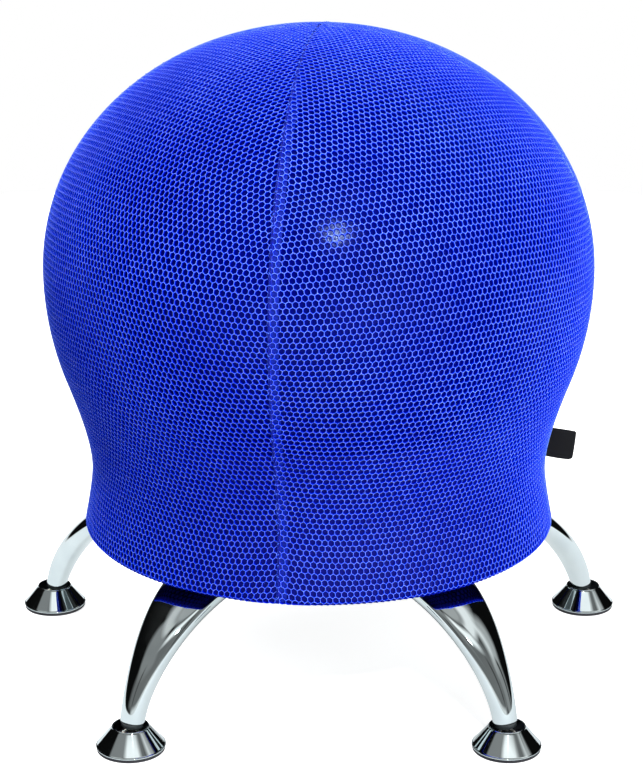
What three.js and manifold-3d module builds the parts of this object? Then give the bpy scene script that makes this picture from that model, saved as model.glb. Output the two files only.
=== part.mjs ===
// Balance ball chair: an inflated ball in a mesh cover, seated in a moulded bowl on five
// curved chrome legs. Each leg stands on a bell-shaped foot that spins and tilts on a ball stud.
// Millimetres, +Z up, the front of the chair faces -Y, origin on the floor under the middle
// of the footprint.
import * as THREE from 'three';
import { mergeVertices } from 'three/addons/utils/BufferGeometryUtils.js';
import Module from 'manifold-3d';

const wasm = await Module();
wasm.setup();

// Footprint and running fits
const legCount = 5;
const footCircleRadius = 269.5;
const seatGap = 0.3;
const cutOverrun = 3;
const weldTolerance = 0.0001;

// Mesh cover and its hem
const coverTopHeight = 575;
const coverRadius = 243;
const coverWidestHeight = 362;
const coverLowestHeight = 105;
const coverLeaveShare = 0.362;
const coverWaistHeight = 183;
const coverWaistRadius = 205.4;
const coverShoulderPullShare = 0.407;
const coverWaistPullShare = 0.256;
const coverSkirtPull = 17;
const hemHeight = 129;
const hemRadius = 213.8;
const coverThickness = 2;
const hemTurnWidth = 26;
const elasticRadius = 2.5;
const elasticSides = 6;
const coverSegments = 36;

// Label tag in the right side seam
const tagSeamAngle = 80.7;
const tagHeight = 207;
const tagReach = 22;
const tagTall = 24;
const tagPly = 0.7;
const tagPlyGap = 0.5;

// Ball and its air plug
const ballWall = 2;
const ballFloorHeight = 138.4;
const valveBoreRadius = 4.5;
const valvePlugLength = 9;
const valveHeadRadius = 9;
const valveHeadThickness = 2;

// Seat base, a bowl with ribs over the legs
const baseWall = 5;
const baseRimWidth = 6;
const baseFloorThickness = 5;
const basePadDrop = 6;
const basePadInner = 70;
const basePadOuter = 126;
const basePadWidth = 68;
const baseAccessRadius = 26;

// Leg
const legEndWidth = 21;
const legEndDepth = 19;
const legMiddleDepth = 27.5;
const legTongueWidth = 64;
const legTongueDepth = 14;
const legEndHeight = 23;
const legEndLean = 12;
const legFootPull = 42;
const legTonguePull = 66;
const legBendRadius = 146;
const legTongueInner = 74;
const legWall = 1.8;
const legBoreShare = 0.8;
const legRoundness = 2.2;
const legSquareness = 4.5;
const legSquareDelay = 4;
const legSides = 14;
const legRings = 10;

// Bolted joint between leg and base
const boltRadius = 4;
const boltSpacing = 26;
const boltInset = 12;
const boltHeadRadius = 6.5;
const boltHeadHeight = 5;
const flangeRadius = 8.5;
const flangeThickness = 1.6;
const nutFlatRadius = 7.4;
const nutHeight = 6.2;
const fastenerSides = 8;
const nutSides = 6;

// Foot: plug, ball stud, bush, cup and glide pad
const studBallRadius = 6;
const studBallHeight = 10.5;
const studNeckRadius = 2.5;
const studShankRadius = 3.8;
const studShankDepth = 12;
const plugCollarLength = 5;
const plugCollarRadius = 9.6;
const plugDepth = 15;
const plugChamfer = 2.4;
const bushWall = 2;
const bushHalfHeight = 4;
const socketLipHeight = 3;
const socketBossRadius = 10.8;
const padRadius = 29;
const padThickness = 2.5;
const padSpigotHeight = 2;
const cupBaseRadius = 29.5;
const cupBeadHeight = 1.4;
const cupBeadWidth = 0.9;
const cupTopRadius = 15.8;
const cupTopHeight = 21.3;
const cupWall = 1.3;
const cupSides = 20;
const studSides = 12;
const bushSteps = 3;
const socketSteps = 4;

const chairShift = -footCircleRadius * (1 - Math.cos(Math.PI / legCount)) / 2;
const legNames = ['back', 'back_right', 'front_right', 'front_left', 'back_left'];
const boltNames = ['inner', 'outer'];

const meshBlue = new THREE.MeshStandardMaterial({ color: 0x2438e8, roughness: 0.75, metalness: 0 });
const ballNavy = new THREE.MeshStandardMaterial({ color: 0x05065a, roughness: 0.3, metalness: 0 });
const chrome = new THREE.MeshStandardMaterial({ color: 0xd8dcde, roughness: 0.06, metalness: 1 });
const steel = new THREE.MeshStandardMaterial({ color: 0x9a9da0, roughness: 0.35, metalness: 1 });
const blackPlastic = new THREE.MeshStandardMaterial({ color: 0x16171a, roughness: 0.5, metalness: 0 });
const nylon = new THREE.MeshStandardMaterial({ color: 0xe4e2da, roughness: 0.55, metalness: 0 });
const blackWoven = new THREE.MeshStandardMaterial({ color: 0x0a0b12, roughness: 0.85, metalness: 0 });
const blackRubber = new THREE.MeshStandardMaterial({ color: 0x1b1c22, roughness: 0.7, metalness: 0 });

const chair = new THREE.Group();
const ballAxis = new THREE.Group();
ballAxis.position.set(0, chairShift, 0);
chair.add(ballAxis);

function addPiece(name, geometry, material, parent = ballAxis) {
  const mesh = new THREE.Mesh(geometry, material);
  mesh.name = name;
  parent.add(mesh);
  return mesh;
}

// Profiles are lists of Vector2 (radius, height), revolved round the vertical axis
function point(radius, height) {
  return new THREE.Vector2(radius, height);
}

function ellipsePoints(radius, rise, centreHeight, fromDegrees, toDegrees, steps) {
  const points = [];
  for (let i = 0; i <= steps; i += 1) {
    const angle = THREE.MathUtils.degToRad(fromDegrees + (toDegrees - fromDegrees) * i / steps);
    points.push(point(radius * Math.cos(angle), centreHeight + rise * Math.sin(angle)));
  }
  return points;
}

// Moves an open profile sideways by a distance, to the right of its running direction
function offsetPoints(points, distance) {
  return points.map((p, i) => {
    const before = points[Math.max(i - 1, 0)];
    const after = points[Math.min(i + 1, points.length - 1)];
    const along = after.clone().sub(before).normalize();
    return point(p.x + along.y * distance, p.y - along.x * distance);
  });
}

// Angle in degrees whose sine is given
function degreesOf(sine) {
  return THREE.MathUtils.radToDeg(Math.asin(sine));
}

// Corner radius of a many-sided bore that clears a shaft at its flats
function boreRadius(shaftRadius, sides) {
  return (shaftRadius + seatGap) / Math.cos(Math.PI / sides);
}

// A closed band or a profile that starts and ends on the axis, as one closed body
function revolve(profile, segments) {
  const area = THREE.ShapeUtils.area(profile);
  const ordered = area > 0 ? profile : profile.slice().reverse();
  const onAxis = ordered.some((p) => p.x === 0);
  let outline = ordered;
  if (onAxis) {
    const first = ordered.findIndex((p, i) => {
      const previous = ordered[(i + ordered.length - 1) % ordered.length];
      return p.x === 0 && previous.x === 0;
    });
    outline = ordered.slice(first).concat(ordered.slice(0, first));
  } else {
    outline = ordered.concat([ordered[0].clone()]);
  }
  const lathe = new THREE.LatheGeometry(outline, segments);
  lathe.rotateX(Math.PI / 2);
  return lathe;
}

function toSolid(geometry) {
  const bare = geometry.clone();
  bare.deleteAttribute('normal');
  bare.deleteAttribute('uv');
  const merged = mergeVertices(bare, weldTolerance);
  return new wasm.Manifold(new wasm.Mesh({
    numProp: 3,
    vertProperties: new Float32Array(merged.attributes.position.array),
    triVerts: new Uint32Array(merged.index.array),
  }));
}

function fromSolid(solid) {
  const mesh = solid.getMesh();
  const geometry = new THREE.BufferGeometry();
  geometry.setAttribute('position', new THREE.BufferAttribute(mesh.vertProperties, 3));
  geometry.setIndex(new THREE.BufferAttribute(mesh.triVerts, 1));
  geometry.computeVertexNormals();
  return geometry;
}

// Joins equal rings of points into a closed skin, with a fan over the first and last ring
function skin(rings) {
  const sides = rings[0].length;
  const positions = rings.flat().flatMap((p) => [p.x, p.y, p.z]);
  const index = [];
  for (let r = 0; r < rings.length - 1; r += 1) {
    for (let s = 0; s < sides; s += 1) {
      const a = r * sides + s;
      const b = r * sides + (s + 1) % sides;
      index.push(a, b, b + sides, a, b + sides, a + sides);
    }
  }
  const last = (rings.length - 1) * sides;
  for (let s = 1; s < sides - 1; s += 1) {
    index.push(0, s + 1, s);
    index.push(last, last + s, last + s + 1);
  }
  const geometry = new THREE.BufferGeometry();
  geometry.setAttribute('position', new THREE.Float32BufferAttribute(positions, 3));
  geometry.setIndex(index);
  geometry.computeVertexNormals();
  return geometry;
}

// The lower half follows an ellipse about the widest ring, as far as the cover lies on the ball
const coverUpperRise = coverTopHeight - coverWidestHeight;
const coverLowerRise = coverWidestHeight - coverLowestHeight;
const leaveAngle = degreesOf(coverLeaveShare);
const upperSteps = 8;
const lowerSteps = 2;
const shoulderSteps = 3;
const skirtSteps = 2;

// Mesh cover, from the top of the ball down to the hem
function coverOuterPoints() {
  const upper = ellipsePoints(coverRadius, coverUpperRise, coverWidestHeight, 90, 0, upperSteps);
  upper[0].x = 0;
  const lower = ellipsePoints(coverRadius, coverLowerRise, coverWidestHeight, 0, -leaveAngle, lowerSteps);
  const leave = lower[lower.length - 1];
  const slope = (coverRadius / coverLowerRise) ** 2 * (coverWidestHeight - leave.y) / leave.x;
  const shoulderDrop = leave.y - coverWaistHeight;
  const shoulderPull = coverShoulderPullShare * shoulderDrop;
  const waistPull = coverWaistPullShare * shoulderDrop;
  const shoulder = new THREE.CubicBezierCurve(
    leave,
    point(leave.x - slope * shoulderPull, leave.y - shoulderPull),
    point(coverWaistRadius, coverWaistHeight + waistPull),
    point(coverWaistRadius, coverWaistHeight),
  ).getPoints(shoulderSteps);
  const skirt = skirtPoints();
  return [...upper, ...lower.slice(1), ...shoulder.slice(1), ...skirt.slice(1)];
}

function coverRadiusAt(height) {
  const points = coverOuterPoints();
  const next = points.findIndex((p, i) => i > 0 && p.y <= height);
  const above = points[next - 1];
  const below = points[next];
  return THREE.MathUtils.mapLinear(height, below.y, above.y, below.x, above.x);
}

function skirtPoints() {
  return new THREE.QuadraticBezierCurve(
    point(coverWaistRadius, coverWaistHeight),
    point(coverWaistRadius, coverWaistHeight - coverSkirtPull),
    point(hemRadius, hemHeight),
  ).getPoints(skirtSteps);
}

function meshCover() {
  const outer = coverOuterPoints();
  const inner = offsetPoints(outer, coverThickness);
  inner[0].set(0, coverTopHeight - coverThickness);
  const hemTop = hemHeight + coverThickness;
  const innerHem = inner[inner.length - 1];
  innerHem.y = hemTop;
  const turn = [point(hemRadius - hemTurnWidth, hemHeight), point(hemRadius - hemTurnWidth, hemTop)];
  return revolve([...outer, ...turn, ...inner.reverse()], coverSegments);
}

// Elastic ring lying on the turned-in hem, against its inner edge
function hemElastic() {
  const ringRadius = hemRadius - hemTurnWidth + elasticRadius;
  const ringHeight = hemHeight + coverThickness + seatGap + elasticRadius;
  const ring = ellipsePoints(elasticRadius, elasticRadius, 0, 0, 360, elasticSides).slice(1);
  return revolve(ring.map((p) => point(ringRadius + p.x, ringHeight + p.y)), coverSegments);
}

// Woven tag folded into a loop, its two ends held by the seam
function labelTag() {
  const outerHalf = tagPly + tagPlyGap / 2;
  const innerHalf = tagPlyGap / 2;
  const bend = tagReach - outerHalf;
  const loop = new THREE.Shape();
  loop.moveTo(0, -outerHalf);
  loop.lineTo(bend, -outerHalf);
  loop.absarc(bend, 0, outerHalf, -Math.PI / 2, Math.PI / 2, false);
  loop.lineTo(0, outerHalf);
  loop.lineTo(0, innerHalf);
  loop.lineTo(bend, innerHalf);
  loop.absarc(bend, 0, innerHalf, Math.PI / 2, -Math.PI / 2, true);
  loop.lineTo(0, -innerHalf);
  loop.closePath();
  const geometry = new THREE.ExtrudeGeometry(loop, {
    depth: tagTall,
    bevelEnabled: false,
    curveSegments: 6,
  });
  geometry.translate(0, 0, -tagTall / 2);
  return geometry;
}

const ballRadius = coverRadius - coverThickness - seatGap;
const ballUpperRise = coverUpperRise - coverThickness - seatGap;
const ballLowerRise = coverLowerRise - coverThickness - seatGap;

// Angle below the widest ring where the ball's side meets its flattened floor
const ballFloorAngle = degreesOf((coverWidestHeight - ballFloorHeight) / ballLowerRise);
const ballFloorSteps = 5;
const dishPoints = 3;

function ballOuterPoints() {
  const upper = ellipsePoints(ballRadius, ballUpperRise, coverWidestHeight, 90, 0, upperSteps);
  upper[0].x = 0;
  const lower = ellipsePoints(ballRadius, ballLowerRise, coverWidestHeight, 0, -leaveAngle, lowerSteps);
  const floor = ellipsePoints(
    ballRadius,
    ballLowerRise,
    coverWidestHeight,
    -leaveAngle,
    -ballFloorAngle,
    ballFloorSteps,
  );
  return [...upper, ...lower.slice(1), ...floor.slice(1)];
}

function ball() {
  const outer = ballOuterPoints();
  const inner = offsetPoints(outer, ballWall);
  inner[0].set(0, coverWidestHeight + ballUpperRise - ballWall);
  inner[inner.length - 1].y = ballFloorHeight + ballWall;
  const bore = [point(valveBoreRadius, ballFloorHeight), point(valveBoreRadius, ballFloorHeight + ballWall)];
  return revolve([...outer, ...bore, ...inner.reverse()], coverSegments);
}

function valvePlug() {
  const headTop = ballFloorHeight - seatGap;
  const stem = valveBoreRadius - seatGap;
  const tip = headTop + valvePlugLength;
  return revolve([
    point(0, headTop - valveHeadThickness),
    point(valveHeadRadius, headTop - valveHeadThickness),
    point(valveHeadRadius, headTop),
    point(stem, headTop),
    point(stem, tip - stem / 2),
    point(stem / 2, tip),
    point(0, tip),
  ], studSides);
}

const baseFloorTop = ballFloorHeight - seatGap;
const baseFloorBottom = baseFloorTop - baseFloorThickness;
const basePadBottom = baseFloorBottom - basePadDrop;
const boltOuterRadius = basePadOuter - boltInset;
const boltRadii = [boltOuterRadius - boltSpacing, boltOuterRadius];

// Bowl of the base: dish under the ball, rim at the cover's waist, skirt inside the cover
function bowl() {
  const ballPoints = ballOuterPoints();
  const dish = offsetPoints(ballPoints, -seatGap).slice(-dishPoints);
  dish[dish.length - 1].y = baseFloorTop;
  const rimHeight = dish[0].y;
  const skirtOuter = offsetPoints(skirtPoints(), coverThickness + seatGap);
  const skirtBottom = hemHeight + coverThickness + seatGap;
  const wallTop = skirtOuter[0];
  const wallBottom = skirtOuter[skirtOuter.length - 1];
  wallTop.y = rimHeight;
  wallBottom.y = skirtBottom;
  const under = offsetPoints(dish, -baseWall);
  under[0].y = rimHeight - baseWall;
  under[under.length - 1].y = baseFloorBottom;
  const rimUnder = point(wallTop.x - baseWall, rimHeight - baseWall);
  const rimTop = point(wallTop.x - baseRimWidth / 2, rimHeight + baseRimWidth / 4);
  return revolve([
    point(baseAccessRadius, baseFloorTop),
    point(baseAccessRadius, baseFloorBottom),
    ...under.slice().reverse(),
    rimUnder,
    point(wallBottom.x - baseWall / 2, skirtBottom),
    ...skirtOuter.slice().reverse(),
    rimTop,
    ...dish,
  ], coverSegments);
}

function legFrame(index) {
  return Math.PI / 2 - index * 2 * Math.PI / legCount;
}

// Turns a geometry made along +X to the direction of one leg
function towardsLeg(geometry, index) {
  const turned = geometry.clone();
  turned.rotateZ(legFrame(index));
  return turned;
}

function upright(radius, bottom, top, sides, along) {
  const cylinder = new THREE.CylinderGeometry(radius, radius, top - bottom, sides);
  cylinder.rotateX(Math.PI / 2);
  cylinder.translate(along, 0, (top + bottom) / 2);
  return cylinder;
}

function seatBase() {
  let solid = toSolid(bowl());
  const padTop = (baseFloorTop + baseFloorBottom) / 2;
  const pad = new THREE.BoxGeometry(basePadOuter - basePadInner, basePadWidth, padTop - basePadBottom);
  pad.translate((basePadOuter + basePadInner) / 2, 0, (padTop + basePadBottom) / 2);
  const holeRadius = boreRadius(boltRadius, fastenerSides);
  const pocketFloor = baseFloorTop - nutHeight - seatGap;
  const cutTop = baseFloorTop + cutOverrun;
  for (let leg = 0; leg < legCount; leg += 1) {
    solid = solid.add(toSolid(towardsLeg(pad, leg)));
  }
  for (let leg = 0; leg < legCount; leg += 1) {
    for (const radius of boltRadii) {
      const hole = upright(holeRadius, basePadBottom - cutOverrun, cutTop, fastenerSides, radius);
      const pocket = upright(nutFlatRadius + 2 * seatGap, pocketFloor, cutTop, nutSides, radius);
      solid = solid.subtract(toSolid(towardsLeg(hole, leg)));
      solid = solid.subtract(toSolid(towardsLeg(pocket, leg)));
    }
  }
  return fromSolid(solid);
}

const tongueTop = basePadBottom - seatGap;
const tongueHeight = tongueTop - legTongueDepth / 2;
const legLean = THREE.MathUtils.degToRad(legEndLean);
const legEndRadius = footCircleRadius - (legEndHeight - studBallHeight) * Math.tan(legLean);

// Centre line of a leg in its own upright plane: x outward from the ball axis, y up
const legCurve = new THREE.CubicBezierCurve(
  point(legEndRadius, legEndHeight),
  point(legEndRadius - legFootPull * Math.sin(legLean), legEndHeight + legFootPull * Math.cos(legLean)),
  point(legBendRadius + legTonguePull, tongueHeight),
  point(legBendRadius, tongueHeight),
);

function ease(share) {
  return share * share * (3 - 2 * share);
}

function legDepth(share) {
  const rest = 1 - share;
  return rest * rest * legEndDepth + 2 * rest * share * legMiddleDepth + share * share * legTongueDepth;
}

// One section of a leg: round at the foot, a flat-sided oval under the cover
function legSection(centre, along, share, inset) {
  const halfWidth = THREE.MathUtils.lerp(legEndWidth, legTongueWidth, ease(share)) / 2 - inset;
  const halfDepth = legDepth(share) / 2 - inset;
  const power = 2 / THREE.MathUtils.lerp(legRoundness, legSquareness, share ** legSquareDelay);
  const ring = [];
  for (let s = 0; s < legSides; s += 1) {
    const angle = 2 * Math.PI * (s + 0.5) / legSides;
    const c = Math.cos(angle);
    const d = Math.sin(angle);
    const across = halfWidth * Math.sign(c) * Math.abs(c) ** power;
    const deep = halfDepth * Math.sign(d) * Math.abs(d) ** power;
    ring.push(new THREE.Vector3(centre.x + deep * along.y, across, centre.y - deep * along.x));
  }
  return ring;
}

function legRing(share, inset) {
  return legSection(legCurve.getPoint(share), legCurve.getTangent(share), share, inset);
}

function leg() {
  const inward = point(-1, 0);
  const outside = [legSection(point(legTongueInner, tongueHeight), inward, 1, 0)];
  const inside = [];
  for (let r = legRings; r >= 0; r -= 1) {
    outside.push(legRing(r / legRings, 0));
  }
  const boreRings = Math.round(legBoreShare * legRings);
  for (let r = 0; r <= boreRings; r += 1) {
    inside.push(legRing(r / legRings, legWall));
  }
  let solid = toSolid(skin([...outside, ...inside]));
  for (const radius of boltRadii) {
    const hole = upright(
      boreRadius(boltRadius, fastenerSides),
      tongueTop - legTongueDepth - cutOverrun,
      tongueTop + cutOverrun,
      fastenerSides,
      radius,
    );
    solid = solid.subtract(toSolid(hole));
  }
  return fromSolid(solid);
}

const tongueBottom = tongueTop - legTongueDepth;
const flangeTop = tongueBottom - seatGap;

// Flange-head bolt: its washer is one with the head
function bolt() {
  const flangeBottom = flangeTop - flangeThickness;
  const tip = baseFloorTop - seatGap;
  return revolve([
    point(0, flangeBottom - boltHeadHeight),
    point(boltHeadRadius, flangeBottom - boltHeadHeight),
    point(boltHeadRadius, flangeBottom),
    point(flangeRadius, flangeBottom),
    point(flangeRadius, flangeTop),
    point(boltRadius, flangeTop),
    point(boltRadius, tip),
    point(0, tip),
  ], fastenerSides);
}

function nut() {
  const bore = boreRadius(boltRadius, nutSides);
  const bottom = baseFloorTop - nutHeight;
  return revolve([
    point(bore, bottom),
    point(nutFlatRadius, bottom),
    point(nutFlatRadius, baseFloorTop),
    point(bore, baseFloorTop),
  ], nutSides);
}

// Radius of a faceted spherical seat that clears a ball of a given radius at its facets
function seatRadius(ballSize, sides, stepDegrees) {
  return boreRadius(ballSize, sides) / Math.cos(THREE.MathUtils.degToRad(stepDegrees / 2));
}

const bushAngle = degreesOf(bushHalfHeight / (studBallRadius + seatGap));
const bushInnerRadius = seatRadius(studBallRadius, studSides, 2 * bushAngle / bushSteps);
const bushOuterRadius = bushInnerRadius + bushWall;
const socketAngle = degreesOf(socketLipHeight / bushOuterRadius);
const socketRadius = seatRadius(bushOuterRadius, cupSides, (90 + socketAngle) / socketSteps);

// Ball stud along its own axis, ball centre at the origin
function ballStud() {
  const neckAngle = 90 - degreesOf(studNeckRadius / studBallRadius);
  const ballPoints = ellipsePoints(studBallRadius, studBallRadius, 0, -90, neckAngle, 4);
  ballPoints[0].x = 0;
  const shankFoot = plugFaceDistance + plugCollarLength;
  return revolve([
    ...ballPoints,
    point(studNeckRadius, shankFoot),
    point(studShankRadius, shankFoot),
    point(studShankRadius, shankFoot + studShankDepth),
    point(0, shankFoot + studShankDepth),
  ], studSides);
}

// Distance along the stud from the ball's centre to the lower face of the plug
const legEndDistance = (legEndHeight - studBallHeight) / Math.cos(legLean);
const plugFaceDistance = legEndDistance - plugCollarLength;

// Plug with a collar below the leg's end and a spigot inside the leg
function legPlug() {
  const spigotRadius = legEndDepth / 2 - legWall - 2 * seatGap;
  const neckHole = boreRadius(studNeckRadius, studSides);
  const shankHole = boreRadius(studShankRadius, studSides);
  const step = legEndDistance - seatGap;
  const shankFoot = plugFaceDistance + plugCollarLength - seatGap;
  return revolve([
    point(neckHole, plugFaceDistance),
    point(plugCollarRadius - plugChamfer, plugFaceDistance),
    point(plugCollarRadius, plugFaceDistance + plugChamfer),
    point(plugCollarRadius, step),
    point(spigotRadius, step),
    point(spigotRadius, step + plugDepth),
    point(shankHole, step + plugDepth),
    point(shankHole, shankFoot),
    point(neckHole, shankFoot),
  ], studSides);
}

function bush() {
  const outerAngle = degreesOf(bushHalfHeight / bushOuterRadius);
  const innerAngle = degreesOf(bushHalfHeight / bushInnerRadius);
  return revolve([
    ...ellipsePoints(bushOuterRadius, bushOuterRadius, 0, -outerAngle, outerAngle, bushSteps),
    ...ellipsePoints(bushInnerRadius, bushInnerRadius, 0, innerAngle, -innerAngle, bushSteps),
  ], studSides);
}

// Glide pad: flat disc with a spigot in the cup and a spherical socket for the bush
function glidePad() {
  const lipAngle = degreesOf(socketLipHeight / socketRadius);
  const socket = ellipsePoints(socketRadius, socketRadius, studBallHeight, lipAngle, -90, socketSteps);
  socket[socket.length - 1].x = 0;
  const spigotRadius = cupInnerRadius(padThickness + padSpigotHeight) - seatGap;
  const spigotTop = padThickness + padSpigotHeight;
  return revolve([
    point(0, 0),
    point(padRadius, 0),
    point(padRadius, padThickness),
    point(spigotRadius + seatGap, padThickness),
    point(spigotRadius, spigotTop),
    point(socketBossRadius, spigotTop),
    point(socketBossRadius, studBallHeight + socketLipHeight),
    ...socket,
  ], cupSides);
}

const cupBottom = padThickness + seatGap;
const cupConeFoot = cupBottom + cupBeadHeight;

// Inner radius of the bell's cone at a height
function cupInnerRadius(height) {
  const share = (height - cupConeFoot) / (cupTopHeight - cupConeFoot);
  return THREE.MathUtils.lerp(cupBaseRadius - cupBeadWidth, cupTopRadius, share) - cupWall;
}

function footCup() {
  return revolve([
    point(cupInnerRadius(cupConeFoot), cupBottom),
    point(cupBaseRadius, cupBottom),
    point(cupBaseRadius, cupConeFoot),
    point(cupBaseRadius - cupBeadWidth, cupConeFoot + cupBeadHeight / 3),
    point(cupTopRadius, cupTopHeight - cupWall / 2),
    point(cupTopRadius - cupWall / 2, cupTopHeight),
    point(cupInnerRadius(cupTopHeight), cupTopHeight),
    point(cupInnerRadius(cupConeFoot), cupConeFoot),
  ], cupSides);
}

addPiece('mesh_cover', meshCover(), meshBlue);
addPiece('hem_elastic', hemElastic(), blackRubber);
addPiece('ball', ball(), ballNavy);
addPiece('valve_plug', valvePlug(), nylon);
addPiece('seat_base', seatBase(), blackPlastic);

const tagPlace = new THREE.Group();
tagPlace.rotation.z = THREE.MathUtils.degToRad(tagSeamAngle - 90);
ballAxis.add(tagPlace);
const tag = addPiece('label_tag', labelTag(), blackWoven, tagPlace);
const seamTop = coverRadiusAt(tagHeight + tagTall / 2);
const seamFoot = coverRadiusAt(tagHeight - tagTall / 2);
tag.position.set(Math.max((seamTop + seamFoot) / 2, coverRadiusAt(tagHeight)) + seatGap, 0, tagHeight);
tag.rotation.y = Math.atan((seamTop - seamFoot) / tagTall);

for (let index = 0; index < legCount; index += 1) {
  const place = new THREE.Group();
  place.rotation.z = legFrame(index);
  ballAxis.add(place);
  const name = legNames[index];
  addPiece(`leg_${name}`, leg(), chrome, place);
  boltRadii.forEach((radius, position) => {
    addPiece(`bolt_${name}_${boltNames[position]}`, bolt(), steel, place).position.x = radius;
    addPiece(`nut_${name}_${boltNames[position]}`, nut(), steel, place).position.x = radius;
  });
  const stud = new THREE.Group();
  stud.position.set(footCircleRadius, 0, studBallHeight);
  stud.rotation.y = -legLean;
  place.add(stud);
  addPiece(`plug_${name}`, legPlug(), blackPlastic, stud);
  addPiece(`stud_${name}`, ballStud(), steel, stud);
  const foot = new THREE.Group();
  foot.position.set(footCircleRadius, 0, 0);
  place.add(foot);
  addPiece(`bush_${name}`, bush(), nylon, foot).position.z = studBallHeight;
  addPiece(`cup_${name}`, footCup(), chrome, foot);
  addPiece(`pad_${name}`, glidePad(), blackRubber, foot);
}

export default chair;
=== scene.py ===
"""Balance ball chair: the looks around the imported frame.

The cover is a real net of hexagonal cells over a glossy ball, sewn from four gores. The legs and
the feet are smooth chrome forms built from the same sizes as the solids. Lengths are written in
millimetres and turned to metres where a mesh is made, apart from those of noise and bump, the
floor, the lamp and the camera.
"""
import math

import bpy
import numpy as np
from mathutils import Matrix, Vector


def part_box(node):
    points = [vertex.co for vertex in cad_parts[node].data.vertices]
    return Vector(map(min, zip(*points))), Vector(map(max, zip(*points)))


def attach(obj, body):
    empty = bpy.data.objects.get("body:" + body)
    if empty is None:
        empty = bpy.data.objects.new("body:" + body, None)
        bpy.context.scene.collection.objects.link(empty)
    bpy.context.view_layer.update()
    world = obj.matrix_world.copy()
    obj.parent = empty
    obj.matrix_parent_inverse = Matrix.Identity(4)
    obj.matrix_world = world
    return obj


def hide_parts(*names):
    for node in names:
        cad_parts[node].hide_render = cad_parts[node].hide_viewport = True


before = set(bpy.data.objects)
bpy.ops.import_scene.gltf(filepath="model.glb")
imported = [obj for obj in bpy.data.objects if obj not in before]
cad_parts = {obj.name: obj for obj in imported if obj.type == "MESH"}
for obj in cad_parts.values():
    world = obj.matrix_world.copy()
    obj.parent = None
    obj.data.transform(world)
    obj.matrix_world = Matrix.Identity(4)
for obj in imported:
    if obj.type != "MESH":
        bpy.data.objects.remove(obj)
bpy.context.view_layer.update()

MM = 0.001
SEED = 7
CIRCLE = 2 * math.pi
LEG_NAMES = ("back", "back_right", "front_right", "front_left", "back_left")
FRAME_BODY = "chair_frame"

# Footprint, as in the solids
LEG_COUNT = len(LEG_NAMES)
FOOT_CIRCLE = 269.5
SEAT_GAP = 0.3
AXIS_Y = -FOOT_CIRCLE * (1 - math.cos(math.pi / LEG_COUNT)) / 2

# Cover, as in the solids
COVER_TOP = 575.0
COVER_RADIUS = 243.0
COVER_WIDEST = 362.0
COVER_LOWEST = 105.0
COVER_RISE = COVER_WIDEST - COVER_LOWEST
LEAVE_SHARE = 0.362
WAIST_HEIGHT = 183.0
WAIST_RADIUS = 205.4
SHOULDER_PULL_SHARE = 0.407
WAIST_PULL_SHARE = 0.256
SKIRT_PULL = 17.0
HEM_HEIGHT = 126.8
HEM_RADIUS = 213.8
HEM_TURN = 26.0
HEM_FOLD = 3.0
COVER_THICKNESS = 2.0
SHOULDER_FULLNESS = 0.983
PROFILE_POINTS = 200
FOLD_POINTS = 24

# Net of the cover
GORE_COUNT = 4
SEAM_TURN = math.pi / GORE_COUNT
FIRST_SEAM = math.radians(-9.3)
CELL_ACROSS = 5.2
CELL_ALONG = 5.0
RIM_SHARE = 0.85
WELL_SHARE = 0.79
RIM_DROP = 0.42
WELL_DROP = 1.8
WARP_REACH = 0.7
WARP_WAVE = 150.0
JITTER = 0.1
CELL_SPREAD = 0.02

# How the cloth lies, by its distance from the top: how far its rows dip at a seam, how far they
# lift again close to it, the pitch of its rows, and its pitch across and how much that grows outwards
CLOTH_ROUNDS = 5
DIP_AT = (0, 45, 95, 210, 265, 340, 425, 460, 640)
DIP_DEEP = (0, 16, 24, 25, 20.5, 18.5, 7.5, 5.2, 5.5)
LIFT_AT = (230, 340)
LIFT_HIGH = (0, 8.8)
ROW_AT = (0, 230, 270, 340, 400, 440, 550, 600)
ROW_PITCH = (5.2, 5.28, 5.18, 5.08, 5.05, 4.92, 4.86, 4.7)
ACROSS_AT = (350, 420)
ACROSS_PITCH = (4.76, 5.1)
ACROSS_GROWTH = (0.158, 0.04)
SEAM_HALF = 0.55


def joined(*parts):
    return np.concatenate(parts)


def circle_turns(count):
    return np.linspace(0, CIRCLE, count, endpoint=False)


def on_circle(turns):
    return np.column_stack([np.cos(turns), np.sin(turns)])


def ellipse(radius, rise, centre, start, end, count, fullness=1.0):
    turns = np.radians(np.linspace(start, end, count))
    c, s = np.cos(turns), np.sin(turns)
    across = radius * np.sign(c) * np.abs(c) ** fullness
    return np.column_stack([across, centre + rise * np.sign(s) * np.abs(s) ** fullness])


def bezier_at(points, shares):
    """Points of a curve at shares of its way from 0 to 1."""
    order = len(points) - 1
    shares = np.reshape(shares, (-1, 1))
    total = 0
    for k, p in enumerate(np.asarray(points, float)):
        total = total + math.comb(order, k) * shares**k * (1 - shares) ** (order - k) * p
    return total


def bezier(points, count):
    return bezier_at(points, np.linspace(0, 1, count))


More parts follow.
